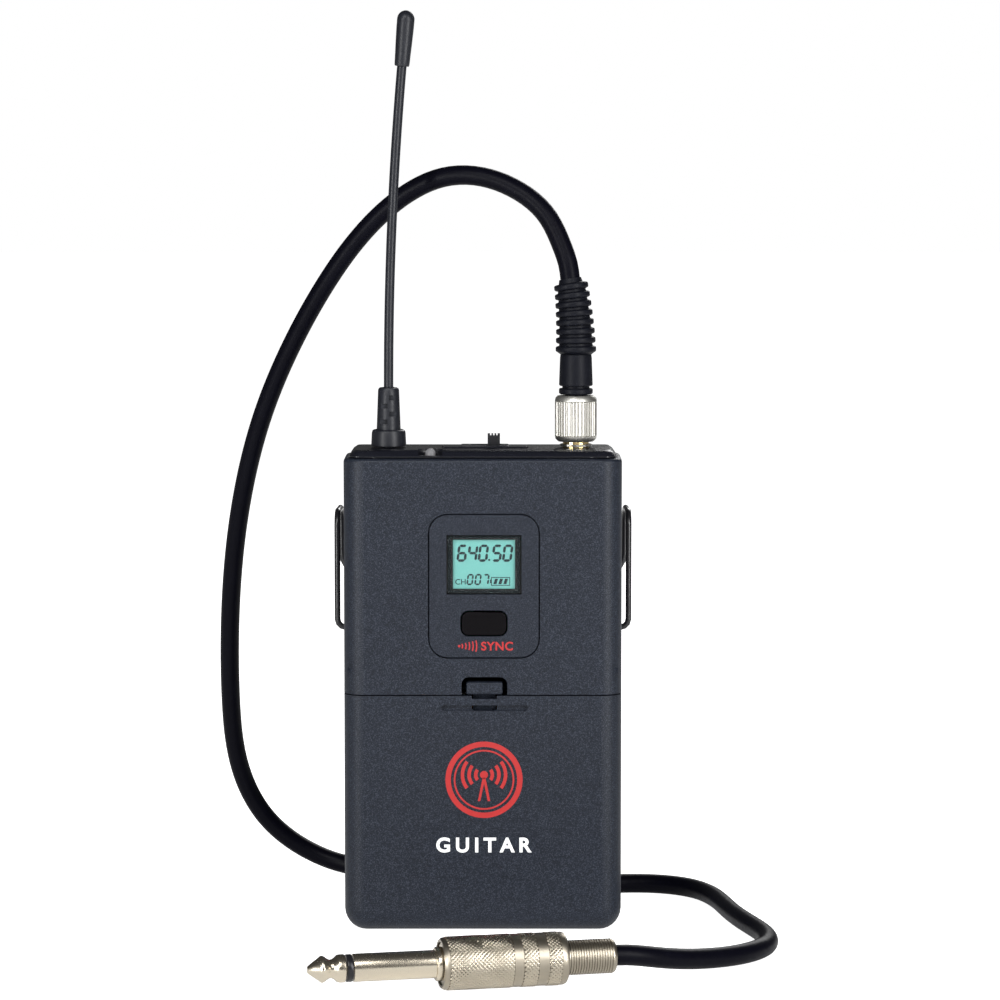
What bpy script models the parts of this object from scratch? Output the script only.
"""Wireless guitar transmitter: a belt pack with its antenna, cord and plug.

Metres, +Z up, +X to the pack's right as its front is seen, +Y towards its back.
The origin is the middle of the base that the pack stands on.
"""

import math

import bmesh
import bpy
import numpy as np
from mathutils import Matrix, Vector

MM = 0.001

# Clearances
GAP = 0.3 * MM            # between pieces that touch or fit
HALF_SEAM = 0.15 * MM     # each side of a seam between two covers

# Case
CASE_WIDTH = 67.0 * MM
CASE_DEPTH = 24.0 * MM
CASE_HEIGHT = 114.8 * MM
WALL = 2.0 * MM
SPLIT_HEIGHT = 57.8 * MM  # top edge of the battery door
CORNER_RADIUS = 5.3 * MM  # lower corners, seen from the front
FRONT_RADIUS = 5.0 * MM
BACK_RADIUS = 4.0 * MM
TOP_RADIUS = 0.9 * MM
SHELF_HEIGHT = 63.0 * MM  # floor of the electronics bay
SHELF_THICKNESS = 1.2 * MM

# Top cap
CAP_HEIGHT = 2.0 * MM
CAP_INSET = 1.4 * MM      # how far the cap stands in from the case's sides
CAP_SLOPE = 1.5 * MM
CAP_CORNER = 3.0 * MM
SPIGOT_INSET_X = 3.2 * MM
SPIGOT_INSET_Y = 1.1 * MM
SPIGOT_DEPTH = 1.7 * MM

# Battery door, its hinge and its latch
HINGE_RISE = 4.2 * MM     # hinge axis above the base and behind the front
HINGE_PIN_RADIUS = 0.8 * MM
ARM_EYE_RADIUS = 1.5 * MM
EYE_BITE = 0.2 * MM       # how deep the door's eyes run into its walls
HINGE_ARM_WIDTH = 2.0 * MM
HINGE_EYE_WIDTH = 1.9 * MM
HINGE_INSET = 6.0 * MM    # outer face of each arm in from the case's side
DOOR_LIP = 0.2 * MM       # how far the door's bottom runs behind the hinge axis
LATCH_X = 0.4 * MM
LATCH_WIDTH = 8.8 * MM
LATCH_HEIGHT = 3.2 * MM
LATCH_RELIEF = 1.1 * MM   # open groove around the latch tab
LATCH_STEM_WIDTH = 5.4 * MM
LATCH_STEM_LENGTH = 9.0 * MM
SLIT_WIDTH = 20.8 * MM
SLIT_HEIGHT = 1.4 * MM
SLIT_BELOW_SPLIT = 2.4 * MM
SLIT_HOLE = 6.1 * MM

# Control plate, display and infrared window
PLATE_X = 0.3 * MM
PLATE_WIDTH = 26.3 * MM
PLATE_HEIGHT = 34.4 * MM
PLATE_BOTTOM = 67.0 * MM
PLATE_RADIUS = 4.4 * MM
PLATE_THICKNESS = 1.2 * MM
PLATE_LEDGE = 2.0 * MM
LENS_WIDTH = 17.4 * MM
LENS_HEIGHT = 13.7 * MM
LENS_BELOW_TOP = 5.2 * MM
LENS_THICKNESS = 0.9 * MM
LIT_WIDTH = 14.9 * MM
LIT_HEIGHT = 11.8 * MM
DISPLAY_RIM = 1.8 * MM
GLASS_THICKNESS = 1.1 * MM
BACKLIGHT_THICKNESS = 1.8 * MM
WINDOW_WIDTH = 10.7 * MM
WINDOW_HEIGHT = 5.6 * MM
WINDOW_ABOVE_BOTTOM = 5.4 * MM
WINDOW_RADIUS = 1.6 * MM
WINDOW_PROUD = 0.2 * MM

# Boards and screws
BOARD_THICKNESS = 1.6 * MM
BOARD_FRONT = 1.5 * MM
BOARD_WIDTH = 48.6 * MM
BOARD_RISE = 1.8 * MM     # above the shelf
BOARD_TOP_GAP = 12.4 * MM  # below the case's top
SHIELD_SIZE = (26.0 * MM, 5.0 * MM, 25.0 * MM)
SHIELD_DROP = 3.0 * MM
CASE_SCREW_X = 28.0 * MM
CASE_SCREW_RISE = 4.5 * MM  # lower screws above the shelf
CASE_SCREW_DROP = 17.4 * MM  # upper screws below the case's top
CASE_SCREW_HEAD = (2.0 * MM, 1.5 * MM)
CASE_SCREW_SHANK = (1.0 * MM, 13.5 * MM)
CASE_BOSS_RADIUS = 2.6 * MM
HEAD_DEPTH = 3.0 * MM     # screw head seat below the back face
BOARD_SCREW_X = 20.0 * MM
BOARD_SCREW_INSET = 3.5 * MM
BOARD_SCREW_HEAD = (1.9 * MM, 1.3 * MM)
BOARD_SCREW_SHANK = (0.8 * MM, 6.0 * MM)
BOARD_POST_RADIUS = 2.2 * MM

# Cells and their tray
CELL_RADIUS = 7.1 * MM
CELL_LENGTH = 50.0 * MM
CELL_BUTTON = (2.75 * MM, 1.0 * MM)
CELL_PITCH = 15.2 * MM
CELLS_X = -8.3 * MM
SPRING_HEIGHT = 2.2 * MM
SPRING_RADIUS = 2.8 * MM
SPRING_WIRE = 0.35 * MM
SPRING_TURNS = 2.0
CONTACT_THICKNESS = 0.3 * MM
TRAY_WALL = 1.0 * MM
TRAY_FRONT = -2.5 * MM

# Input level trimmer beside the cells
TRIMMER_X = 17.2 * MM
TRIMMER_Z = 40.0 * MM
TRIMMER_SIZE = 6.4 * MM
TRIMMER_DEPTH = 2.8 * MM
ROTOR_RADIUS = 2.3 * MM
BAY_PLATE_WIDTH = 16.5 * MM
BAY_PLATE_HEIGHT = 47.0 * MM
BAY_PLATE_BOTTOM = 9.5 * MM
BAY_PLATE_FRONT = -3.2 * MM

# Power switch
SWITCH_X = 0.5 * MM
SWITCH_PLATFORM = (20.3 * MM, 7.2 * MM, 1.0 * MM)
SWITCH_RISE = 0.4 * MM
SWITCH_CENTRE = (11.4 * MM, 0.6 * MM)
KNOB_X = 2.65 * MM        # where the knob stands when switched on
KNOB_SIZE = (3.0 * MM, 2.6 * MM, 2.7 * MM)
KNOB_TEETH = 4
KNOB_STEM = (2.0 * MM, 1.4 * MM)
SWITCH_TRAVEL = 4.0 * MM
SWITCH_BODY = (12.5 * MM, 6.4 * MM, 8.0 * MM)

# Status lamp
LAMP_X = -12.6 * MM
LAMP_Y = -7.2 * MM
LAMP_RADIUS = 1.3 * MM
LAMP_NOTCH = 5.9 * MM

# Antenna
ANTENNA_X = -22.8 * MM
COLLAR_RADII = (4.25 * MM, 4.0 * MM)
COLLAR_HEIGHT = 4.0 * MM
COLLAR_CUP = (3.3 * MM, 1.35 * MM)
STUD_RADIUS = 1.5 * MM
STUD_LENGTH = 10.0 * MM
BOOT_RADII = (2.92 * MM, 2.5 * MM)
BOOT_HEIGHT = 10.5 * MM
BOOT_CUP = (1.5 * MM, 1.0 * MM)
WHIP_RADIUS = 1.15 * MM
WHIP_RISE = 80.0 * MM
WHIP_LEAN = 3.6 * MM
TIP_RADII = (1.75 * MM, 2.1 * MM)
TIP_LENGTH = 13.6 * MM
TIP_OVERLAP = 2.6 * MM

# Input socket and the cord's screw-on connector
JACK_X = 22.5 * MM
THREAD_RADIUS = 3.13 * MM
THREAD_RISE = 2.4 * MM
JACK_BORE = 2.3 * MM
JACK_FLANGE = (4.6 * MM, 2.0 * MM)
JACK_LENGTH = 16.0 * MM
WASHER_RADIUS = 3.85 * MM
WASHER_THICKNESS = 0.5 * MM
RING_RADIUS = 5.2 * MM
RING_RISE = 1.45 * MM
RING_LENGTH = 11.1 * MM
RING_TOP_WALL = 3.4 * MM
NECK_RADIUS = 4.1 * MM
NECK_LENGTH = 1.4 * MM
GROOVE_RADIUS = 3.2 * MM
GROOVE_LENGTH = 0.6 * MM
BARREL_RADII = (4.08 * MM, 3.82 * MM)
BARREL_LENGTH = 7.3 * MM
SHANK_RADIUS = 2.4 * MM
RELIEF_LENGTH = 17.3 * MM
RELIEF_CORE = 3.25 * MM
RELIEF_RIBS = 8
RELIEF_RADII = (4.9 * MM, 4.1 * MM)
RELIEF_BEND = math.radians(9.0)
RELIEF_TOWARDS = Vector((-0.94, 0.34, 0.0)).normalized()

# Cord
CORD_RADIUS = 2.4 * MM
CORD_STEP = 12.0 * MM
CORD_ROUTE = (            # millimetres, after the strain relief and before the plug
    (20.7, 0.8, 160.4), (19.1, 2.0, 165.4), (15.3, 4.0, 172.9), (8.3, 6.5, 178.8),
    (-1.0, 9.2, 182.1), (-9.8, 12.0, 181.8), (-18.0, 14.8, 178.2), (-28.5, 18.6, 169.3),
    (-39.3, 23.6, 154.9), (-48.2, 29.0, 139.0), (-55.4, 34.6, 122.0), (-60.4, 40.2, 104.0),
    (-63.5, 45.8, 85.3), (-65.0, 51.0, 66.2), (-65.2, 56.0, 46.9), (-63.0, 60.8, 28.2),
    (-56.6, 63.8, 15.2), (-47.5, 64.8, 7.4), (-37.5, 63.6, 3.3), (-25.0, 58.0, 2.6),
    (-10.0, 49.0, 2.6), (5.0, 41.5, 2.6), (16.0, 37.5, 2.6), (26.0, 37.0, 2.6),
    (36.0, 38.4, 2.6), (44.7, 37.5, 2.6), (51.9, 32.6, 2.6), (56.0, 25.2, 2.6),
    (58.8, 14.0, 2.6), (61.0, 0.0, 2.6), (64.6, -16.0, 2.6), (67.3, -29.0, 2.6),
    (66.3, -41.0, 2.6), (59.8, -50.8, 2.6), (50.0, -58.6, 3.2), (40.0, -65.8, 5.0),
)

# Quarter-inch plug
PLUG_REAR = Vector((30.0, -69.6, 6.2)) * MM
PLUG_TURN = math.radians(13.0)   # how far its tip is swung towards the front
GRIP_RADIUS = 3.95 * MM
GRIP_LENGTH = 11.2 * MM
GRIP_INSIDE = 8.0 * MM
SHELL_RADIUS = 6.15 * MM
SHELL_WALL = 0.9 * MM
SHELL_LENGTH = 28.8 * MM
SHELL_END_WALL = 2.0 * MM
SLEEVE_RADIUS = 3.175 * MM
PLUG_REACH = 30.5 * MM           # from the shell's front to the tip
SLEEVE_FLANGE = (4.6 * MM, 3.0 * MM)
TIP_PIECE = 8.5 * MM
RING_INSULATOR = 1.6 * MM
ROD_RADIUS = 1.2 * MM
CORD_ENTRY = 3.0 * MM

# Belt clip
WIRE_RADIUS = 0.75 * MM
CLIP_STANDOFF = 2.0 * MM         # wire centre beyond the case's side
CLIP_PIVOT_Y = 4.0 * MM
CLIP_PIVOT_Z = 72.4 * MM
CLIP_TOP = 100.7 * MM
BELT_GAP = 6.0 * MM              # room for a belt behind the case
CLIP_BOTTOM = 29.0 * MM
CLIP_TONGUE_HALF = 14.0 * MM
CLIP_TIP_NEARER = 0.9 * MM

# Places worked out from the sizes above
HALF_WIDTH = CASE_WIDTH / 2
CLIP_HALF_WIDTH = HALF_WIDTH + CLIP_STANDOFF
DOOR_EYE_RADIUS = HINGE_RISE - WALL + EYE_BITE
FRONT = -CASE_DEPTH / 2
BACK = CASE_DEPTH / 2
CAP_TOP = CASE_HEIGHT + CAP_HEIGHT
HINGE_Y = FRONT + HINGE_RISE
ARM_OUTER = HALF_WIDTH - HINGE_INSET
ARM_INNER = ARM_OUTER - HINGE_ARM_WIDTH
FLOOR_HALF = HALF_WIDTH - CORNER_RADIUS - GAP
LIP_REACH = math.hypot(DOOR_LIP, HINGE_RISE)
FLOOR_FRONT = HINGE_Y + LIP_REACH + GAP
BOARD_BOTTOM = SHELF_HEIGHT + SHELF_THICKNESS + BOARD_RISE
BOARD_TOP = CASE_HEIGHT - BOARD_TOP_GAP
BOARD_BACK = BOARD_FRONT + BOARD_THICKNESS
CASE_SCREW_HEIGHTS = (SHELF_HEIGHT + SHELF_THICKNESS + CASE_SCREW_RISE,
                      CASE_HEIGHT - CASE_SCREW_DROP)
COLLAR_BASE = CAP_TOP + GAP
BOOT_BASE = COLLAR_BASE + COLLAR_HEIGHT - GAP
BOOT_TOP = BOOT_BASE + BOOT_HEIGHT
WHIP_BASE = BOOT_TOP - GAP
RING_BASE = CAP_TOP + RING_RISE
RING_TOP = RING_BASE + RING_LENGTH
RELIEF_BASE = RING_TOP + GAP + NECK_LENGTH + GROOVE_LENGTH + BARREL_LENGTH + GAP

for leftover in list(bpy.data.objects):
    bpy.data.objects.remove(leftover, do_unlink=True)

PARTS = bpy.data.collections.new("guitar_transmitter")
CUTTERS = bpy.data.collections.new("cutters")
bpy.context.scene.collection.children.link(PARTS)
bpy.context.scene.collection.children.link(CUTTERS)


# Materials

def material(name, colour, roughness, metallic=0.0):
    """A plain Principled material."""
    made = bpy.data.materials.new(name)
    made.use_nodes = True
    shader = made.node_tree.nodes["Principled BSDF"]
    shader.inputs["Base Color"].default_value = (*colour, 1.0)
    shader.inputs["Roughness"].default_value = roughness
    shader.inputs["Metallic"].default_value = metallic
    return made


CASE_PLASTIC = material("case_plastic", (0.020, 0.022, 0.028), 0.5)
CAP_PLASTIC = material("cap_plastic", (0.010, 0.010, 0.014), 0.35)
GLOSS_PLASTIC = material("gloss_plastic", (0.006, 0.006, 0.008), 0.12)
RUBBER = material("rubber", (0.022, 0.024, 0.030), 0.6)
CORD_JACKET = material("cord_jacket", (0.008, 0.008, 0.012), 0.5)
CLEAR_PLASTIC = material("clear_plastic", (0.75, 0.80, 0.80), 0.08)
DISPLAY_GLASS = material("display_glass", (0.22, 0.67, 0.60), 0.25)
WHITE_PLASTIC = material("white_plastic", (0.75, 0.75, 0.72), 0.5)
NICKEL = material("nickel", (0.66, 0.61, 0.52), 0.25, 1.0)
BRIGHT_NICKEL = material("bright_nickel", (0.80, 0.79, 0.75), 0.2, 1.0)
BRASS = material("brass", (0.72, 0.55, 0.25), 0.3, 1.0)
STEEL = material("steel", (0.55, 0.55, 0.56), 0.35, 1.0)
BLACK_WIRE = material("black_wire", (0.012, 0.012, 0.015), 0.3, 0.6)
BOARD_GREEN = material("board_green", (0.02, 0.12, 0.05), 0.45)
CELL_JACKET = material("cell_jacket", (0.10, 0.11, 0.13), 0.35, 0.4)


# Tools

def place(name, mesh, finish=None, location=(0, 0, 0)):
    """Link a new object, as a part when it has a finish and as a cutter when not."""
    thing = bpy.data.objects.new(name, mesh)
    thing.location = location
    if finish is None:
        CUTTERS.objects.link(thing)
        thing.hide_render = True
        thing.display_type = "WIRE"
    else:
        PARTS.objects.link(thing)
        mesh.materials.append(finish)
    return thing


def mesh_from(name, editing):
    mesh = bpy.data.meshes.new(name)
    editing.to_mesh(mesh)
    editing.free()
    return mesh


def block(name, low, high, finish=None, radius=0.0, axis=None, segments=4):
    """A box between two corners. Its edges along axis, or all of them, are rounded."""
    low, high = Vector(low), Vector(high)
    editing = bmesh.new()
    bmesh.ops.create_cube(editing, size=1.0)
    bmesh.ops.scale(editing, vec=high - low, verts=editing.verts)
    if radius:
        edges = editing.edges[:]
        if axis is not None:
            edges = [e for e in edges if abs((e.verts[0].co - e.verts[1].co)[axis]) > 1e-7]
        bmesh.ops.bevel(editing, geom=edges, offset=radius, segments=segments,
                        profile=0.5, affect="EDGES", clamp_overlap=True)
    return place(name, mesh_from(name, editing), finish, (low + high) / 2)


def rod(name, radius, start, end, finish=None, sides=24):
    """A cylinder between two points."""
    start, end = Vector(start), Vector(end)
    editing = bmesh.new()
    bmesh.ops.create_cone(editing, cap_ends=True, segments=sides, radius1=radius,
                          radius2=radius, depth=(end - start).length)
    thing = place(name, mesh_from(name, editing), finish, (start + end) / 2)
    thing.rotation_euler = (end - start).to_track_quat("Z", "Y").to_euler()
    return thing


def turned(name, profile, finish=None, location=(0, 0, 0), sides=24, closed=False):
    """A profile of (radius, height) points, listed up its outer side, spun about Z."""
    mesh = bpy.data.meshes.new(name)
    points = [(radius, 0.0, height) for radius, height in reversed(profile)]
    edges = [(i, i + 1) for i in range(len(points) - 1)]
    if closed:
        edges.append((len(points) - 1, 0))
    mesh.from_pydata(points, edges, [])
    thing = place(name, mesh, finish, location)
    spin = thing.modifiers.new("spin", "SCREW")
    spin.steps = spin.render_steps = sides
    spin.use_merge_vertices = True
    spin.merge_threshold = 0.00001
    return thing


def solid_of(thing):
    """Replace an object by a welded mesh of what it evaluates to."""
    bpy.context.view_layer.update()
    graph = bpy.context.evaluated_depsgraph_get()
    mesh = bpy.data.meshes.new_from_object(thing.evaluated_get(graph))
    editing = bmesh.new()
    editing.from_mesh(mesh)
    bmesh.ops.remove_doubles(editing, verts=editing.verts, dist=0.00001)
    bmesh.ops.recalc_face_normals(editing, faces=editing.faces)
    editing.to_mesh(mesh)
    editing.free()
    solid = bpy.data.objects.new(thing.name, mesh)
    name = thing.name
    for group in thing.users_collection:
        group.objects.link(solid)
    solid.matrix_world = thing.matrix_world
    solid.hide_render = thing.hide_render
    solid.display_type = thing.display_type
    bpy.data.objects.remove(thing, do_unlink=True)
    solid.name = name
    return solid


def prism(name, outline, start, end, finish=None):
    """An outline of (y, z) points, extruded along X from start to end."""
    curve = bpy.data.curves.new(name, "CURVE")
    curve.dimensions = "2D"
    curve.fill_mode = "BOTH"
    curve.extrude = (end - start) / 2
    spline = curve.splines.new("POLY")
    spline.points.add(len(outline) - 1)
    for point, (y, z) in zip(spline.points, outline):
        point.co = (y, z, 0.0, 1.0)
    spline.use_cyclic_u = True
    thing = place(name, curve, finish, ((start + end) / 2, 0, 0))
    thing.rotation_euler = (math.pi / 2, 0, math.pi / 2)
    return solid_of(thing)


def combine(target, tool, operation):
    step = target.modifiers.new(tool.name, "BOOLEAN")
    step.operation = operation
    step.solver = "EXACT"
    step.object = tool


def hang(thing, pivot):
    """Parent a piece to an empty on the axis that it turns about."""
    axis = bpy.data.objects.new(f"{thing.name}_axis", None)
    PARTS.objects.link(axis)
    axis.location = pivot
    thing.parent = axis
    thing.matrix_parent_inverse = Matrix.Translation(-Vector(pivot))


def cut(target, tool):
    combine(target, tool, "DIFFERENCE")


def join(target, tool):
    combine(target, tool, "UNION")


def keep(target, tool):
    combine(target, tool, "INTERSECT")


def tube(name, points, radius, finish, resolution=2):
    """A round wire or cord through points."""
    curve = bpy.data.curves.new(name, "CURVE")
    curve.dimensions = "3D"
    curve.bevel_depth = radius
    curve.bevel_resolution = resolution
    curve.use_fill_caps = True
    spline = curve.splines.new("POLY")
    spline.points.add(len(points) - 1)
    for point, place_at in zip(spline.points, points):
        point.co = (*place_at, 1.0)
    return place(name, curve, finish)


def arc(centre, radius, start, end, steps):
    """Points on an arc in a plane, angles in degrees."""
    return [(centre[0] + radius * math.cos(math.radians(a)),
             centre[1] + radius * math.sin(math.radians(a)))
            for a in np.linspace(start, end, steps + 1)]


def filleted(points, radii, steps=3):
    """A path whose corners are rounded by arcs of the given radii."""
    path = [Vector(points[0])]
    for before, corner, after, radius in zip(points, points[1:], points[2:], radii):
        before, corner, after = Vector(before), Vector(corner), Vector(after)
        inward = (before - corner).normalized()
        outward = (after - corner).normalized()
        half = inward.angle(outward) / 2
        reach = radius / math.tan(half)
        middle = corner + (inward + outward).normalized() * radius / math.sin(half)
        start, end = corner + inward * reach - middle, corner + outward * reach - middle
        path += [middle + radius * start.slerp(end, i / steps) for i in range(steps + 1)]
    path.append(Vector(points[-1]))
    return path


def smooth_curve(route, step):
    """Points about a step apart on the natural cubic spline through a route."""
    route = np.array(route)
    spans = np.linalg.norm(np.diff(route, axis=0), axis=1)
    knots = np.concatenate(([0.0], np.cumsum(spans)))
    count = len(route)
    system, sides = np.eye(count), np.zeros((count, 3))
    slopes = np.diff(route, axis=0) / spans[:, None]
    for i in range(1, count - 1):
        system[i, i - 1:i + 2] = spans[i - 1], 2 * (spans[i - 1] + spans[i]), spans[i]
        sides[i] = 6 * (slopes[i] - slopes[i - 1])
    bends = np.linalg.solve(system, sides)
    curve = []
    for at in np.linspace(0.0, knots[-1], round(knots[-1] / step) + 1):
        i = min(int(np.searchsorted(knots, at, side="right")) - 1, count - 2)
        a = (knots[i + 1] - at) / spans[i]
        b = 1.0 - a
        curve.append(a * route[i] + b * route[i + 1]
                     + ((a ** 3 - a) * bends[i] + (b ** 3 - b) * bends[i + 1]) * spans[i] ** 2 / 6)
    return [Vector(point) for point in curve]


# Case

def case_form(name, inset, finish=None):
    """The case's rounded outer form, or the same form drawn in by an inset."""
    half = Vector((HALF_WIDTH - inset, BACK - inset, CASE_HEIGHT / 2 - inset))
    editing = bmesh.new()
    bmesh.ops.create_cube(editing, size=2.0)
    bmesh.ops.scale(editing, vec=half, verts=editing.verts)

    def round_off(chosen, radius, segments):
        edges = [e for e in editing.edges if chosen(*(v.co for v in e.verts))]
        bmesh.ops.bevel(editing, geom=edges, offset=radius, segments=segments,
                        profile=0.5, affect="EDGES", clamp_overlap=False)

    def at(value, *places):
        return all(abs(place - value) < 1e-6 for place in places)

    round_off(lambda a, b: at(-half.z, a.z, b.z) and at(a.x, b.x), CORNER_RADIUS - inset, 7)
    round_off(lambda a, b: at(-half.y, a.y, b.y) and not at(half.z, a.z, b.z), FRONT_RADIUS - inset, 6)
    round_off(lambda a, b: at(half.y, a.y, b.y) and not at(half.z, a.z, b.z), BACK_RADIUS - inset, 4)
    if not inset:
        round_off(lambda a, b: at(half.z, a.z, b.z), TOP_RADIUS - inset, 3)
    bmesh.ops.triangulate(editing, faces=[f for f in editing.faces if len(f.verts) == 4])
    return place(name, mesh_from(name, editing), finish, (0, 0, CASE_HEIGHT / 2))


def region(name, low, high):
    """A cutting box. None stands for well outside the case."""
    far = 2 * (CASE_WIDTH + CASE_HEIGHT)
    low = [-far if value is None else value for value in low]
    high = [far if value is None else value for value in high]
    return block(name, low, high)


def screw_places():
    return [(x, z) for z in CASE_SCREW_HEIGHTS for x in (-CASE_SCREW_X, CASE_SCREW_X)]


def spigot(name, spare, depth):
    """The cap's plug that fits the opening in the case's top, or that opening."""
    half_x = HALF_WIDTH - WALL - SPIGOT_INSET_X + spare
    half_y = BACK - WALL - SPIGOT_INSET_Y + spare
    return block(name, (-half_x, -half_y, CASE_HEIGHT - depth),
                 (half_x, half_y, CASE_HEIGHT + WALL), radius=CAP_CORNER, axis=2)


def latch_recess():
    """The open groove that the latch tab stands in."""
    half = LATCH_WIDTH / 2 + LATCH_RELIEF
    return block("latch_recess", (LATCH_X - half, FRONT - WALL, SPLIT_HEIGHT - LATCH_HEIGHT),
                 (LATCH_X + half, FRONT + WALL * 1.5,
                  SPLIT_HEIGHT + LATCH_HEIGHT + LATCH_RELIEF + HALF_SEAM),
                 radius=1.7 * MM, axis=1)


def plate_block(name, spare, front, back, inset=0.0, finish=None):
    """The control plate's rounded outline between two depths."""
    grow = spare - inset
    low = (PLATE_X - PLATE_WIDTH / 2 - grow, front, PLATE_BOTTOM - grow)
    high = (PLATE_X + PLATE_WIDTH / 2 + grow, back, PLATE_BOTTOM + PLATE_HEIGHT + grow)
    return block(name, low, high, finish, radius=PLATE_RADIUS + grow, axis=1, segments=6)


def build_front_shell():
    shell = case_form("front_shell", 0.0, CASE_PLASTIC)
    cut(shell, case_form("front_inside", WALL))
    keep(shell, region("front_region", (None, None, SPLIT_HEIGHT + HALF_SEAM), (None, -HALF_SEAM, None)))
    cut(shell, spigot("front_opening", GAP, WALL * 2))
    cut(shell, plate_block("plate_pocket", GAP, FRONT - WALL, FRONT + PLATE_THICKNESS + GAP))
    cut(shell, plate_block("plate_window", GAP, FRONT - WALL, FRONT + WALL * 2, inset=PLATE_LEDGE))
    cut(shell, latch_recess())
    join(shell, block("front_shelf", (-HALF_WIDTH + WALL / 2, FRONT + WALL / 2, SHELF_HEIGHT),
                      (HALF_WIDTH - WALL / 2, -HALF_SEAM, SHELF_HEIGHT + SHELF_THICKNESS)))
    for number, (x, z) in enumerate(screw_places(), 1):
        join(shell, rod(f"front_boss_{number}", CASE_BOSS_RADIUS,
                        (x, FRONT + WALL / 2, z), (x, -HALF_SEAM - GAP, z), sides=12))
        cut(shell, rod(f"front_bore_{number}", CASE_SCREW_SHANK[0] + GAP,
                       (x, FRONT + WALL + GAP, z), (x, WALL, z), sides=12))


def hinge_outline():
    """A gooseneck arm, seen along the hinge: up from the floor and over to the pin."""
    top = HINGE_RISE + LIP_REACH + GAP
    behind = FLOOR_FRONT + 2 * MM
    nose = FRONT + WALL + GAP
    eye = arc((HINGE_Y, HINGE_RISE), ARM_EYE_RADIUS, 175, 370, 8)
    return [(FLOOR_FRONT, WALL / 2), (FLOOR_FRONT, top - 1 * MM), (HINGE_Y + ARM_EYE_RADIUS, top - 1 * MM),
            *reversed(eye), (nose, HINGE_RISE + 1 * MM), (nose, top + 1 * MM),
            (behind, top + 1 * MM), (behind, WALL / 2)]


def build_rear_shell():
    shell = case_form("rear_shell", 0.0, CASE_PLASTIC)
    cut(shell, case_form("rear_inside", WALL))
    front_half = region("front_half", (None, None, None), (None, HALF_SEAM, None))
    cut(front_half, region("floor_tongue", (-FLOOR_HALF, FLOOR_FRONT, None),
                           (FLOOR_HALF, WALL, WALL * 1.5)))
    cut(shell, front_half)
    cut(shell, spigot("rear_opening", GAP, WALL * 2))
    join(shell, block("rear_shelf", (-HALF_WIDTH + WALL / 2, HALF_SEAM + GAP, SHELF_HEIGHT),
                      (HALF_WIDTH - WALL / 2, BACK - WALL / 2, SHELF_HEIGHT + SHELF_THICKNESS)))
    for side in (-1, 1):
        low, high = sorted((side * ARM_INNER, side * ARM_OUTER))
        join(shell, prism(f"hinge_arm_{side}", hinge_outline(), low, high))
    cut(shell, rod("hinge_bore", HINGE_PIN_RADIUS + GAP, (-HALF_WIDTH, HINGE_Y, HINGE_RISE),
                   (HALF_WIDTH, HINGE_Y, HINGE_RISE), sides=12))
    cut(shell, rod("clip_bore", WIRE_RADIUS + GAP, (-CASE_WIDTH, CLIP_PIVOT_Y, CLIP_PIVOT_Z),
                   (CASE_WIDTH, CLIP_PIVOT_Y, CLIP_PIVOT_Z), sides=12))
    head_radius = CASE_SCREW_HEAD[0] + GAP
    for number, (x, z) in enumerate(screw_places(), 1):
        join(shell, rod(f"rear_boss_{number}", head_radius + WALL / 2,
                        (x, HALF_SEAM + GAP, z), (x, BACK - WALL / 2, z), sides=12))
        cut(shell, rod(f"rear_bore_{number}", CASE_SCREW_SHANK[0] + GAP, (x, -WALL, z),
                       (x, BACK + WALL, z), sides=12))
        cut(shell, rod(f"head_bore_{number}", head_radius, (x, BACK - HEAD_DEPTH, z), (x, BACK + WALL, z),
                       sides=12))
    for number, (x, z) in enumerate(board_screw_places(), 1):
        join(shell, rod(f"board_post_{number}", BOARD_POST_RADIUS,
                        (x, BOARD_BACK + GAP, z), (x, BACK - WALL / 2, z), sides=12))
        cut(shell, rod(f"board_post_bore_{number}", BOARD_SCREW_SHANK[0] + GAP,
                       (x, FRONT, z), (x, BACK - WALL - GAP, z), sides=12))


def build_case_screws():
    head_radius, head_height = CASE_SCREW_HEAD
    radius, length = CASE_SCREW_SHANK
    seat = BACK - HEAD_DEPTH + GAP
    for number, (x, z) in enumerate(screw_places(), 1):
        profile = [(0, -length), (radius, -length), (radius, 0), (head_radius, 0),
                   (head_radius, head_height * 0.6), (head_radius * 0.6, head_height), (0, head_height)]
        screw = turned(f"case_screw_{number}", profile, STEEL, (x, seat, z), sides=12)
        screw.rotation_euler = (-math.pi / 2, 0, 0)


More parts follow.
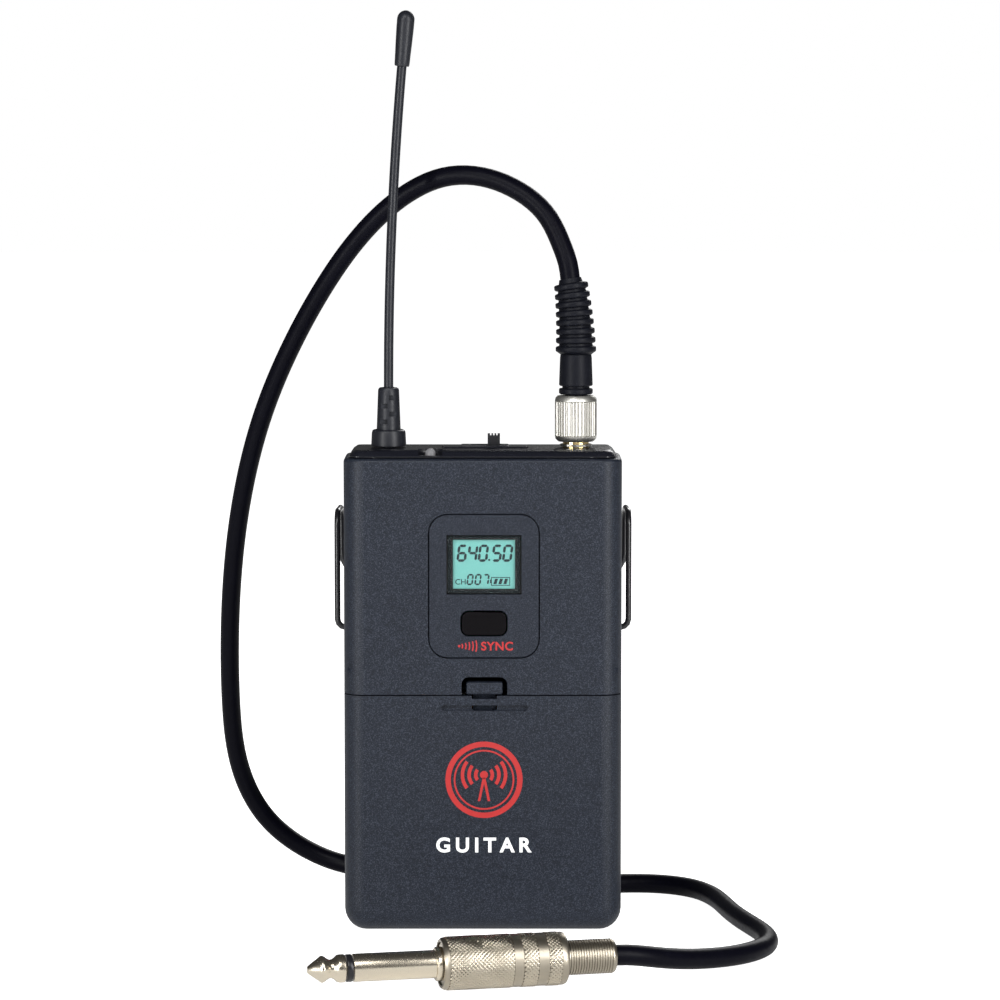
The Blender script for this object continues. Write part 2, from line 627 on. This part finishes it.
def build_top_cap():
    half_x = HALF_WIDTH - CAP_INSET
    half_y = BACK - CAP_INSET
    low, high = Vector((-half_x, -half_y, CASE_HEIGHT + GAP)), Vector((half_x, half_y, CAP_TOP))
    editing = bmesh.new()
    bmesh.ops.create_cube(editing, size=1.0)
    bmesh.ops.scale(editing, vec=high - low, verts=editing.verts)
    upright = [e for e in editing.edges if abs(e.verts[0].co.z - e.verts[1].co.z) > 1e-6]
    bmesh.ops.bevel(editing, geom=upright, offset=CAP_CORNER, segments=4, profile=0.5, affect="EDGES")
    rim = [e for e in editing.edges if all(v.co.z > 1e-6 for v in e.verts)]
    bmesh.ops.bevel(editing, geom=rim, offset=CAP_SLOPE, segments=2, profile=0.35, affect="EDGES")
    cap = place("top_cap", mesh_from("top_cap", editing), CAP_PLASTIC, (low + high) / 2)
    plug = spigot("cap_spigot", 0.0, SPIGOT_DEPTH)
    cut(plug, region("above_cap", (None, None, CASE_HEIGHT + CAP_HEIGHT / 2), (None, None, None)))
    join(cap, plug)
    below = CASE_HEIGHT - WALL * 2
    cut(cap, rod("stud_hole", STUD_RADIUS + GAP, (ANTENNA_X, 0, below), (ANTENNA_X, 0, CAP_TOP + WALL),
                 sides=12))
    cut(cap, rod("jack_hole", THREAD_RADIUS + GAP, (JACK_X, 0, below), (JACK_X, 0, CAP_TOP + WALL)))
    width, depth, thickness = SWITCH_PLATFORM
    cut(cap, block("switch_pocket",
                   (SWITCH_X - width / 2 - GAP, -depth / 2 - GAP, CAP_TOP + SWITCH_RISE - thickness - GAP),
                   (SWITCH_X + width / 2 + GAP, depth / 2 + GAP, CAP_TOP + WALL)))
    start, end = knob_slot()
    cut(cap, block("switch_opening", (start - GAP, -KNOB_SIZE[1] / 2 - 2 * GAP, below),
                   (end + GAP, KNOB_SIZE[1] / 2 + 2 * GAP, CAP_TOP + WALL)))
    cut(cap, block("lamp_notch", (LAMP_X - LAMP_NOTCH / 2, FRONT - WALL, CASE_HEIGHT + 2 * GAP),
                   (LAMP_X + LAMP_NOTCH / 2, LAMP_Y + LAMP_RADIUS + GAP, CAP_TOP + WALL)))
    cut(cap, rod("lamp_hole", LAMP_RADIUS + GAP, (LAMP_X, LAMP_Y, below), (LAMP_X, LAMP_Y, CAP_TOP + WALL),
                 sides=12))


# Battery door

def slit_block(name, width, depth):
    top = SPLIT_HEIGHT - SLIT_BELOW_SPLIT
    return block(name, (LATCH_X - width / 2, FRONT - WALL, top - SLIT_HEIGHT),
                 (LATCH_X + width / 2, FRONT + depth, top), radius=0.6 * MM, axis=1)


def build_door():
    door = case_form("battery_door", 0.0, CASE_PLASTIC)
    cut(door, case_form("door_inside", WALL))
    keep(door, region("door_region", (None, None, None), (None, -HALF_SEAM, SPLIT_HEIGHT - HALF_SEAM)))
    cut(door, region("door_floor", (-FLOOR_HALF - GAP, HINGE_Y + DOOR_LIP, None),
                     (FLOOR_HALF + GAP, WALL, WALL + GAP)))
    # the rear lower corners swing past the rear shell as the door opens
    reach = -HALF_SEAM - HINGE_Y
    relief = math.hypot(reach, HINGE_RISE) - reach + GAP
    cut(door, prism("corner_relief", [(-HALF_SEAM - relief, -MM), (MM, -MM), (MM, HINGE_RISE + MM),
                                      (-HALF_SEAM, HINGE_RISE)], -CASE_WIDTH, CASE_WIDTH))
    for side in (-1, 1):
        for label, inner, outer in (("outer", ARM_OUTER + GAP, ARM_OUTER + HINGE_EYE_WIDTH),
                                    ("inner", ARM_INNER - HINGE_EYE_WIDTH, ARM_INNER - GAP)):
            join(door, rod(f"door_eye_{label}_{side}", DOOR_EYE_RADIUS,
                           (side * inner, HINGE_Y, HINGE_RISE), (side * outer, HINGE_Y, HINGE_RISE),
                           sides=12))
        cut(door, rod(f"door_bore_{side}", HINGE_PIN_RADIUS + GAP,
                      (side * (ARM_INNER - HINGE_EYE_WIDTH + 2 * GAP), HINGE_Y, HINGE_RISE),
                      (side * (ARM_OUTER + HINGE_EYE_WIDTH - 2 * GAP), HINGE_Y, HINGE_RISE), sides=12))
    cut(door, slit_block("latch_slit", SLIT_WIDTH, WALL / 2))
    cut(door, slit_block("latch_slit_hole", SLIT_HOLE, WALL * 2))
    cut(door, region("latch_gap", (LATCH_X - SLIT_HOLE / 2, None, SPLIT_HEIGHT - 0.9 * MM),
                     (LATCH_X + SLIT_HOLE / 2, FRONT + WALL * 2, None)))
    for side in (-1, 1):
        inner = LATCH_X + side * (LATCH_STEM_WIDTH / 2 + GAP)
        low, high = sorted((inner, inner + side * 1.2 * MM))
        join(door, block(f"latch_rail_{side}", (low, FRONT + WALL / 2, SPLIT_HEIGHT - LATCH_STEM_LENGTH),
                         (high, FRONT + WALL * 2, SPLIT_HEIGHT - LATCH_STEM_LENGTH / 2)))
    hang(door, (0, HINGE_Y, HINGE_RISE))


def build_hinge_pins():
    for name, side in (("door_hinge_pin_left", -1), ("door_hinge_pin_right", 1)):
        rod(name, HINGE_PIN_RADIUS, (side * (ARM_INNER - HINGE_EYE_WIDTH + 3 * GAP), HINGE_Y, HINGE_RISE),
            (side * (ARM_OUTER + HINGE_EYE_WIDTH - 3 * GAP), HINGE_Y, HINGE_RISE), STEEL, sides=12)


def build_latch():
    thickness = WALL / 2
    stem_front = FRONT + WALL + 1.3 * GAP
    latch = block("door_latch", (LATCH_X - LATCH_WIDTH / 2, FRONT, SPLIT_HEIGHT + HALF_SEAM),
                  (LATCH_X + LATCH_WIDTH / 2, stem_front + thickness, SPLIT_HEIGHT + LATCH_HEIGHT),
                  CASE_PLASTIC, radius=0.5 * MM, segments=2)
    join(latch, block("latch_stem",
                      (LATCH_X - LATCH_STEM_WIDTH / 2, stem_front, SPLIT_HEIGHT - LATCH_STEM_LENGTH),
                      (LATCH_X + LATCH_STEM_WIDTH / 2, stem_front + thickness,
                       SPLIT_HEIGHT + LATCH_HEIGHT / 2)))


# Control plate and display

def lens_centre():
    return PLATE_X, PLATE_BOTTOM + PLATE_HEIGHT - LENS_BELOW_TOP - LENS_HEIGHT / 2


def panel_block(name, centre, width, height, front, back, finish=None, radius=0.0):
    x, z = centre
    return block(name, (x - width / 2, front, z - height / 2), (x + width / 2, back, z + height / 2),
                 finish, radius=radius, axis=1, segments=4)


def build_control_plate():
    plate = plate_block("control_plate", 0.0, FRONT, FRONT + PLATE_THICKNESS, finish=CASE_PLASTIC)
    through = (FRONT - WALL, FRONT + WALL)
    cut(plate, panel_block("lens_hole", lens_centre(), LENS_WIDTH + 2 * GAP, LENS_HEIGHT + 2 * GAP,
                           *through))
    cut(plate, panel_block("window_hole", window_centre(), WINDOW_WIDTH + 2 * GAP, WINDOW_HEIGHT + 2 * GAP,
                           *through, radius=WINDOW_RADIUS + GAP))
    panel_block("lcd_lens", lens_centre(), LENS_WIDTH, LENS_HEIGHT, FRONT, FRONT + LENS_THICKNESS,
                CLEAR_PLASTIC)
    panel_block("ir_window", window_centre(), WINDOW_WIDTH, WINDOW_HEIGHT, FRONT - WINDOW_PROUD,
                FRONT + PLATE_THICKNESS, GLOSS_PLASTIC, radius=WINDOW_RADIUS)


def window_centre():
    return PLATE_X, PLATE_BOTTOM + WINDOW_ABOVE_BOTTOM + WINDOW_HEIGHT / 2


def build_display():
    centre = lens_centre()
    front = FRONT + PLATE_THICKNESS + GAP
    glass_front = front + WALL / 3
    glass_back = glass_front + GLASS_THICKNESS
    light_back = glass_back + GAP + BACKLIGHT_THICKNESS
    width, height = LIT_WIDTH + DISPLAY_RIM / 3, LIT_HEIGHT + DISPLAY_RIM / 3
    frame = panel_block("lcd_frame", centre, LIT_WIDTH + 2 * DISPLAY_RIM, LIT_HEIGHT + 2 * DISPLAY_RIM,
                        front, light_back + GAP, GLOSS_PLASTIC)
    cut(frame, panel_block("lit_opening", centre, LIT_WIDTH, LIT_HEIGHT, front - WALL, light_back + WALL))
    cut(frame, panel_block("glass_pocket", centre, width + 2 * GAP, height + 2 * GAP,
                           glass_front - GAP, light_back + WALL))
    panel_block("lcd_glass", centre, width, height, glass_front, glass_back, DISPLAY_GLASS)
    panel_block("lcd_backlight", centre, width, height, glass_back + GAP, light_back, WHITE_PLASTIC)


# Electronics

def board_screw_places():
    return [(-BOARD_SCREW_X, BOARD_BOTTOM + BOARD_SCREW_INSET),
            (BOARD_SCREW_X, BOARD_TOP - BOARD_SCREW_INSET)]


def build_boards():
    board = block("main_board", (-BOARD_WIDTH / 2, BOARD_FRONT, BOARD_BOTTOM),
                  (BOARD_WIDTH / 2, BOARD_BACK, BOARD_TOP), BOARD_GREEN, radius=MM, axis=1, segments=2)
    head_radius, head_height = BOARD_SCREW_HEAD
    radius, length = BOARD_SCREW_SHANK
    for number, (x, z) in enumerate(board_screw_places(), 1):
        cut(board, rod(f"board_hole_{number}", radius + GAP, (x, FRONT, z), (x, BACK, z), sides=12))
        profile = [(0, -length), (radius, -length), (radius, 0), (head_radius, 0),
                   (head_radius, head_height * 0.6), (head_radius * 0.6, head_height), (0, head_height)]
        screw = turned(f"board_screw_{number}", profile, STEEL, (x, BOARD_FRONT - GAP, z), sides=12)
        screw.rotation_euler = (math.pi / 2, 0, 0)
    width, depth, height = SHIELD_SIZE
    x = -BOARD_WIDTH / 2 + 3 * MM
    z = BOARD_TOP - height - SHIELD_DROP
    shield = block("rf_shield", (x, BOARD_BACK + GAP, z), (x + width, BOARD_BACK + GAP + depth, z + height),
                   BRIGHT_NICKEL, radius=0.5 * MM, segments=2)
    cut(shield, block("shield_inside", (x + GAP, BOARD_BACK - MM, z + GAP),
                      (x + width - GAP, BOARD_BACK + depth, z + height - GAP)))
    x, z = window_centre()
    receiver = block("ir_receiver", (x - 2.6 * MM, BOARD_FRONT - GAP - 2.4 * MM, z - 2.2 * MM),
                     (x + 2.6 * MM, BOARD_FRONT - GAP, z + 2.2 * MM), GLOSS_PLASTIC)
    join(receiver, rod("receiver_dome", 1.6 * MM, (x, BOARD_FRONT - 4.2 * MM, z), (x, BOARD_FRONT - MM, z),
                       sides=12))


def build_trimmer():
    x, z = TRIMMER_X, TRIMMER_Z
    board_half = BAY_PLATE_WIDTH / 2
    block("trimmer_board", (x - board_half, BOARD_FRONT, z - 10 * MM),
          (x + board_half, BOARD_BACK, z + 10 * MM), BOARD_GREEN)
    half = TRIMMER_SIZE / 2
    back = BOARD_FRONT - GAP
    rotor_front = BAY_PLATE_FRONT - 0.5 * MM
    rotor_back = back - TRIMMER_DEPTH + 0.6 * MM
    body = block("level_trimmer_body", (x - half, back - TRIMMER_DEPTH, z - half),
                 (x + half, back, z + half), WHITE_PLASTIC)
    cut(body, rod("rotor_seat", ROTOR_RADIUS + GAP, (x, FRONT, z), (x, rotor_back + GAP, z)))
    rotor = rod("level_trimmer_rotor", ROTOR_RADIUS, (x, rotor_back, z), (x, rotor_front, z), BRASS)
    cut(rotor, block("driver_slot", (x - ROTOR_RADIUS * 2, FRONT, z - 0.4 * MM),
                     (x + ROTOR_RADIUS * 2, rotor_front + 0.7 * MM, z + 0.4 * MM)))
    hang(rotor, (x, rotor_back, z))
    plate = block("bay_plate", (x - board_half, BAY_PLATE_FRONT, BAY_PLATE_BOTTOM),
                  (x + board_half, BAY_PLATE_FRONT + WALL / 2, BAY_PLATE_BOTTOM + BAY_PLATE_HEIGHT),
                  CASE_PLASTIC, radius=MM, axis=1, segments=2)
    cut(plate, rod("trimmer_access", ROTOR_RADIUS + GAP, (x, FRONT, z), (x, BACK, z)))


# Cells

def cell_places():
    return CELLS_X - CELL_PITCH / 2, CELLS_X + CELL_PITCH / 2


def spring_path(x, y, base):
    """A compressed coil, points in turn order."""
    steps = int(9 * SPRING_TURNS)
    rise = SPRING_HEIGHT - 2 * SPRING_WIRE
    points = []
    for i in range(steps + 1):
        angle = 2 * math.pi * SPRING_TURNS * i / steps
        points.append((x + SPRING_RADIUS * math.cos(angle), y + SPRING_RADIUS * math.sin(angle),
                       base + SPRING_WIRE + rise * i / steps))
    return points


def build_cells():
    left, right = cell_places()
    back = BACK - WALL - GAP - TRAY_WALL
    y = back - GAP - CELL_RADIUS
    floor = WALL + GAP + TRAY_WALL
    link = floor + GAP
    first = link + CONTACT_THICKNESS + GAP
    button_radius, button_height = CELL_BUTTON
    edge = 0.6 * MM
    profile = [(0, 0), (CELL_RADIUS - edge, 0), (CELL_RADIUS, edge),
               (CELL_RADIUS, CELL_LENGTH - button_height - edge),
               (CELL_RADIUS - edge, CELL_LENGTH - button_height),
               (button_radius, CELL_LENGTH - button_height), (button_radius, CELL_LENGTH), (0, CELL_LENGTH)]
    turned("cell_left", profile, CELL_JACKET, (left, y, first + SPRING_HEIGHT + GAP), sides=20)
    flipped = turned("cell_right", profile, CELL_JACKET, (right, y, first + CELL_LENGTH), sides=20)
    flipped.rotation_euler = (math.pi, 0, 0)
    tube("cell_spring_left", spring_path(left, y, first), SPRING_WIRE, STEEL)
    tube("cell_spring_right", spring_path(right, y, first + CELL_LENGTH + GAP), SPRING_WIRE, STEEL)
    last = first + SPRING_HEIGHT + GAP + CELL_LENGTH + GAP
    half = CELL_RADIUS * 0.7
    block("contact_link", (left - half, y - half, link),
          (right + half, y + half, link + CONTACT_THICKNESS), STEEL)
    block("contact_left", (left - half, y - half, last), (left + half, y + half, last + CONTACT_THICKNESS),
          STEEL)
    block("contact_right", (right - half, y - half, last),
          (right + half, y + half, last + CONTACT_THICKNESS), STEEL)
    ceiling = last + CONTACT_THICKNESS + GAP
    inner = CELL_RADIUS + 0.5 * MM
    tray = block("battery_tray", (left - inner - TRAY_WALL, TRAY_FRONT, WALL + GAP),
                 (right + inner + TRAY_WALL, BACK - WALL - GAP, ceiling + TRAY_WALL), CASE_PLASTIC,
                 radius=BACK_RADIUS - WALL, axis=0)
    cut(tray, block("tray_inside", (left - inner, FRONT, floor), (right + inner, back, ceiling)))


# Power switch and lamp

def knob_slot():
    """The ends of the knob's slot."""
    spare = KNOB_SIZE[0] / 2 + GAP
    return KNOB_X - SWITCH_TRAVEL - spare, KNOB_X + spare


def build_switch():
    width, depth, thickness = SWITCH_PLATFORM
    platform_top = CAP_TOP + SWITCH_RISE
    bezel = block("switch_bezel", (SWITCH_X - width / 2, -depth / 2, platform_top - thickness),
                  (SWITCH_X + width / 2, depth / 2, platform_top), CAP_PLASTIC)
    centre_width, centre_rise = SWITCH_CENTRE
    join(bezel, block("bezel_centre",
                      (SWITCH_X - centre_width / 2, -depth / 2 + 0.4 * MM, platform_top - thickness / 2),
                      (SWITCH_X + centre_width / 2, depth / 2 - 0.4 * MM, CAP_TOP + centre_rise)))
    start, end = knob_slot()
    knob_width, knob_depth, knob_height = KNOB_SIZE
    slot_half = knob_depth / 2 + GAP
    cut(bezel, block("knob_slot", (start, -slot_half, CASE_HEIGHT), (end, slot_half, CAP_TOP + 2 * WALL)))
    body_width, body_depth, body_height = SWITCH_BODY
    body_top = CASE_HEIGHT - SPIGOT_DEPTH - GAP
    middle = (start + end) / 2
    body = block("switch_body", (middle - body_width / 2, -body_depth / 2, body_top - body_height),
                 (middle + body_width / 2, body_depth / 2, body_top), STEEL)
    stem_width, stem_depth = KNOB_STEM
    stem_depth_below = body_top - 2 * MM
    cut(body, block("stem_slot", (start, -stem_depth / 2 - GAP, stem_depth_below - GAP),
                    (end, stem_depth / 2 + GAP, CAP_TOP)))
    top = CAP_TOP + centre_rise + knob_height
    knob = block("switch_knob", (KNOB_X - knob_width / 2, -knob_depth / 2, CAP_TOP - MM),
                 (KNOB_X + knob_width / 2, knob_depth / 2, top), GLOSS_PLASTIC)
    join(knob, block("knob_stem", (KNOB_X - stem_width / 2, -stem_depth / 2, stem_depth_below),
                     (KNOB_X + stem_width / 2, stem_depth / 2, CAP_TOP)))
    pitch = knob_width / KNOB_TEETH
    for number in range(1, KNOB_TEETH):
        x = KNOB_X - knob_width / 2 + number * pitch
        cut(knob, block(f"knob_groove_{number}", (x - pitch * 0.22, -knob_depth, top - 0.5 * MM),
                        (x + pitch * 0.22, knob_depth, top + MM)))


def build_lamp():
    dome = [(0, CASE_HEIGHT - 3.5 * MM), (LAMP_RADIUS, CASE_HEIGHT - 3.5 * MM),
            *[(r, CAP_TOP - LAMP_RADIUS * 0.8 + h) for r, h in arc((0, 0), LAMP_RADIUS, 0, 75, 3)],
            (0, CAP_TOP + GAP)]
    turned("led_lens", dome, CLEAR_PLASTIC, (LAMP_X, LAMP_Y, 0), sides=16)
    base = CASE_HEIGHT - 3.5 * MM - GAP
    block("led", (LAMP_X - 1.5 * MM, LAMP_Y - 1.2 * MM, base - 1.8 * MM),
          (LAMP_X + 1.5 * MM, LAMP_Y + 1.2 * MM, base), WHITE_PLASTIC)


# Antenna

def whip_path():
    """The whip's centreline: upright at the boot, then easing over."""
    count = 8
    return [(ANTENNA_X + WHIP_LEAN * (i / count) ** 2, 0.0,
             WHIP_BASE + WHIP_RISE * i / count) for i in range(count + 1)]


def build_antenna():
    base_radius, top_radius = COLLAR_RADII
    cup_radius, cup_depth = COLLAR_CUP
    top = COLLAR_HEIGHT
    collar = [(0, -STUD_LENGTH), (STUD_RADIUS, -STUD_LENGTH), (STUD_RADIUS, 0), (base_radius, 0),
              (top_radius, top - 0.3 * MM), (top_radius - 0.3 * MM, top), (cup_radius, top),
              (cup_radius, top - cup_depth), (0, top - cup_depth)]
    turned("antenna_collar", collar, RUBBER, (ANTENNA_X, 0, COLLAR_BASE), sides=24)
    socket = [(STUD_RADIUS + GAP, 0), (STUD_RADIUS + 1.3 * MM, 0), (STUD_RADIUS + 1.3 * MM, 5 * MM),
              (STUD_RADIUS + GAP, 5 * MM)]
    socket_top = CASE_HEIGHT - SPIGOT_DEPTH - GAP
    turned("antenna_socket", socket, BRASS, (ANTENNA_X, 0, socket_top - 5 * MM), sides=16, closed=True)
    lower, upper = BOOT_RADII
    cup_radius, cup_depth = BOOT_CUP
    boot = [(0, 0), (lower, 0), (upper, BOOT_HEIGHT - 0.3 * MM), (upper - 0.3 * MM, BOOT_HEIGHT),
            (cup_radius, BOOT_HEIGHT), (cup_radius, BOOT_HEIGHT - cup_depth), (0, BOOT_HEIGHT - cup_depth)]
    turned("antenna_boot", boot, RUBBER, (ANTENNA_X, 0, BOOT_BASE), sides=24)
    path = whip_path()
    whip = tube("antenna_whip", path, WHIP_RADIUS, RUBBER)
    hang(whip, (ANTENNA_X, 0, BOOT_TOP))
    end = Vector(path[-1])
    along = (end - Vector(path[-2])).normalized()
    narrow, wide = TIP_RADII
    hole = WHIP_RADIUS + GAP
    round_top = [(r, TIP_LENGTH - wide + h) for r, h in arc((0, 0), wide, 0, 80, 4)]
    tip = [(0, TIP_OVERLAP + GAP), (hole, TIP_OVERLAP + GAP), (hole, 0), (narrow, 0), *round_top,
           (0, TIP_LENGTH)]
    cover = turned("antenna_tip", tip, RUBBER, end - along * TIP_OVERLAP, sides=16)
    cover.rotation_euler = along.to_track_quat("Z", "Y").to_euler()
    hang(cover, (ANTENNA_X, 0, BOOT_TOP))


# Input socket, connector and strain relief

def build_connector():
    bore = JACK_BORE
    flange_radius, flange_height = JACK_FLANGE
    under = CASE_HEIGHT - SPIGOT_DEPTH - GAP
    top = CAP_TOP + THREAD_RISE
    bottom = top - JACK_LENGTH
    jack = [(0, bottom), (THREAD_RADIUS, bottom), (THREAD_RADIUS, under - flange_height),
            (flange_radius, under - flange_height),
            (flange_radius, under), (THREAD_RADIUS, under), (THREAD_RADIUS, top), (bore, top),
            (bore, bottom + 2 * MM), (0, bottom + 2 * MM)]
    turned("input_jack", jack, BRASS, (JACK_X, 0, 0))
    washer = [(THREAD_RADIUS + GAP, 0), (WASHER_RADIUS, 0), (WASHER_RADIUS, WASHER_THICKNESS),
              (THREAD_RADIUS + GAP, WASHER_THICKNESS)]
    turned("jack_washer", washer, BRIGHT_NICKEL, (JACK_X, 0, CAP_TOP + GAP), sides=20, closed=True)
    bevel = 0.6 * MM
    ceiling = RING_LENGTH - RING_TOP_WALL
    ring = [(THREAD_RADIUS + GAP, 0), (RING_RADIUS - bevel, 0), (RING_RADIUS, bevel),
            (RING_RADIUS, RING_LENGTH - bevel),
            (RING_RADIUS - bevel, RING_LENGTH), (SHANK_RADIUS + GAP, RING_LENGTH),
            (SHANK_RADIUS + GAP, ceiling),
            (THREAD_RADIUS + GAP, ceiling)]
    turned("coupling_ring", ring, BRIGHT_NICKEL, (JACK_X, 0, RING_BASE), closed=True)
    insert_radius = bore - GAP
    shoulder = RING_BASE + ceiling - GAP
    neck = RING_TOP + GAP
    groove = neck + NECK_LENGTH
    barrel = groove + GROOVE_LENGTH
    lower, upper = BARREL_RADII
    body = [(0, bottom + 2.5 * MM), (insert_radius, bottom + 2.5 * MM), (insert_radius, top + GAP),
            (THREAD_RADIUS - GAP, top + GAP),
            (THREAD_RADIUS - GAP, shoulder), (SHANK_RADIUS, shoulder), (SHANK_RADIUS, neck),
            (NECK_RADIUS - 0.3 * MM, neck),
            (NECK_RADIUS, neck + 0.3 * MM), (NECK_RADIUS, groove), (GROOVE_RADIUS, groove),
            (GROOVE_RADIUS, barrel),
            (lower, barrel), (upper, barrel + BARREL_LENGTH), (0, barrel + BARREL_LENGTH)]
    turned("cable_connector", body, RUBBER, (JACK_X, 0, 0), sides=20)


def relief_profile():
    """The ribbed sleeve's profile: a wide lip, then ribs that shrink towards the cord."""
    lip, last = RELIEF_RADII
    pitch = RELIEF_LENGTH / RELIEF_RIBS
    profile = [(0, 0), (RELIEF_CORE, 0)]
    for i in range(RELIEF_RIBS):
        radius = lip + (last - lip) * i / (RELIEF_RIBS - 1)
        base = i * pitch
        profile += [(RELIEF_CORE, base + 0.2 * pitch), (radius, base + 0.45 * pitch),
                    (radius, base + 0.85 * pitch)]
    return profile + [(0, RELIEF_LENGTH)]


def relief_frame(height):
    """Centre and direction of the bent sleeve at a height along it."""
    angle = RELIEF_BEND * height / RELIEF_LENGTH
    radius = RELIEF_LENGTH / RELIEF_BEND
    centre = Vector((JACK_X, 0, RELIEF_BASE)) + RELIEF_TOWARDS * radius * (1 - math.cos(angle))
    centre.z += radius * math.sin(angle)
    return centre, RELIEF_TOWARDS * math.sin(angle) + Vector((0, 0, math.cos(angle)))


def build_relief():
    straight = turned("strain_relief", relief_profile(), RUBBER, sides=14)
    relief = solid_of(straight)
    up = Vector((0, 0, 1))
    for vertex in relief.data.vertices:
        centre, along = relief_frame(vertex.co.z)
        spoke = Vector((vertex.co.x, vertex.co.y, 0))
        vertex.co = centre + up.rotation_difference(along) @ spoke


# Plug and cord

def plug_direction():
    """From the plug's rear end to its tip."""
    return Vector((-math.cos(PLUG_TURN), -math.sin(PLUG_TURN), 0))


def build_plug():
    axis = bpy.data.objects.new("plug_axis", None)
    PARTS.objects.link(axis)
    axis.location = PLUG_REAR
    axis.rotation_euler = plug_direction().to_track_quat("Z", "Y").to_euler()
    entry = CORD_RADIUS + 2 * GAP
    grip_end = GRIP_LENGTH + GRIP_INSIDE
    grip = [(0, CORD_ENTRY + GAP), (entry, CORD_ENTRY + GAP), (entry, 0), (GRIP_RADIUS - 0.6 * MM, 0),
            (GRIP_RADIUS, 0.6 * MM), (GRIP_RADIUS, grip_end), (0, grip_end)]
    shell_rear = GRIP_LENGTH + GAP
    shell_front = shell_rear + SHELL_LENGTH
    inside = SHELL_RADIUS - SHELL_WALL
    flange_radius, flange_length = SLEEVE_FLANGE
    shell = [(GRIP_RADIUS + GAP, shell_rear), (SHELL_RADIUS - 0.7 * MM, shell_rear),
             (SHELL_RADIUS, shell_rear + 0.7 * MM),
             (SHELL_RADIUS, shell_front - 0.5 * MM), (SHELL_RADIUS - 0.5 * MM, shell_front),
             (flange_radius + GAP, shell_front),
             (flange_radius + GAP, shell_front - flange_length), (inside, shell_front - flange_length - MM),
             (inside, shell_rear + SHELL_END_WALL), (GRIP_RADIUS + GAP, shell_rear + SHELL_END_WALL)]
    tip_end = shell_front + PLUG_REACH
    tip_rear = tip_end - TIP_PIECE
    insulator_rear = tip_rear - GAP - RING_INSULATOR
    sleeve_end = insulator_rear - GAP
    bore = ROD_RADIUS + GAP
    sleeve = [(bore, shell_front - flange_length), (flange_radius, shell_front - flange_length),
              (flange_radius, shell_front - 0.3 * MM), (SLEEVE_RADIUS + 0.5 * MM, shell_front - 0.3 * MM),
              (SLEEVE_RADIUS + 0.5 * MM, shell_front + 1.2 * MM),
              (SLEEVE_RADIUS, shell_front + 1.4 * MM), (SLEEVE_RADIUS, sleeve_end), (bore, sleeve_end)]
    insulator = [(bore, insulator_rear), (SLEEVE_RADIUS, insulator_rear), (SLEEVE_RADIUS, tip_rear - GAP),
                 (bore, tip_rear - GAP)]
    rod_rear = shell_front - flange_length - 4 * MM
    tip = [(0, rod_rear), (ROD_RADIUS, rod_rear), (ROD_RADIUS, tip_rear), (SLEEVE_RADIUS, tip_rear),
           (SLEEVE_RADIUS, tip_rear + 1.6 * MM), (2.15 * MM, tip_rear + 2.6 * MM),
           (2.1 * MM, tip_rear + 3.4 * MM),
           (2.9 * MM, tip_rear + 4.7 * MM), (3.0 * MM, tip_rear + 5.2 * MM),
           (2.7 * MM, tip_rear + 5.8 * MM),
           (0.75 * MM, tip_end - 0.2 * MM), (0.5 * MM, tip_end), (0, tip_end)]
    for name, profile, finish, sides, closed in (
            ("plug_grip", grip, NICKEL, 20, False), ("plug_shell", shell, NICKEL, 28, True),
            ("plug_sleeve", sleeve, NICKEL, 20, True),
            ("plug_insulator", insulator, GLOSS_PLASTIC, 20, True),
            ("plug_tip", tip, NICKEL, 20, False)):
        turned(name, profile, finish, sides=sides, closed=closed).parent = axis


def build_cord():
    top, along = relief_frame(RELIEF_LENGTH)
    into_plug = plug_direction()
    route = [top + along * 2.5 * GAP, *(Vector(point) * MM for point in CORD_ROUTE),
             PLUG_REAR - into_plug * CORD_ENTRY, PLUG_REAR + into_plug * CORD_ENTRY]
    tube("cord", smooth_curve(route, CORD_STEP), CORD_RADIUS, CORD_JACKET)


# Belt clip

def build_belt_clip():
    y = CLIP_PIVOT_Y
    behind = BACK + BELT_GAP + WIRE_RADIUS
    wide = CLIP_HALF_WIDTH
    half = [(HALF_WIDTH - WALL - MM, y, CLIP_PIVOT_Z), (wide, y, CLIP_PIVOT_Z), (wide, y, CLIP_TOP),
            (wide - 0.5 * MM, behind, CLIP_TOP), (wide - 0.6 * MM, behind, CLIP_PIVOT_Z + 14 * MM),
            (CLIP_TONGUE_HALF + 3 * MM, behind, CLIP_PIVOT_Z + 1.5 * MM),
            (CLIP_TONGUE_HALF, behind - CLIP_TIP_NEARER, CLIP_BOTTOM)]
    other = [(-x, *rest) for x, *rest in reversed(half)]
    bends = [2 * MM, 3.5 * MM, 3.5 * MM, 5 * MM, 8 * MM]
    path = filleted(half + other, [*bends, 9 * MM, 9 * MM, *reversed(bends)])
    hang(tube("belt_clip", path, WIRE_RADIUS, BLACK_WIRE, resolution=3), (0, CLIP_PIVOT_Y, CLIP_PIVOT_Z))


build_front_shell()
build_rear_shell()
build_case_screws()
build_top_cap()
build_door()
build_hinge_pins()
build_latch()
build_control_plate()
build_display()
build_boards()
build_trimmer()
build_cells()
build_switch()
build_lamp()
build_antenna()
build_connector()
build_relief()
build_plug()
build_cord()
build_belt_clip()
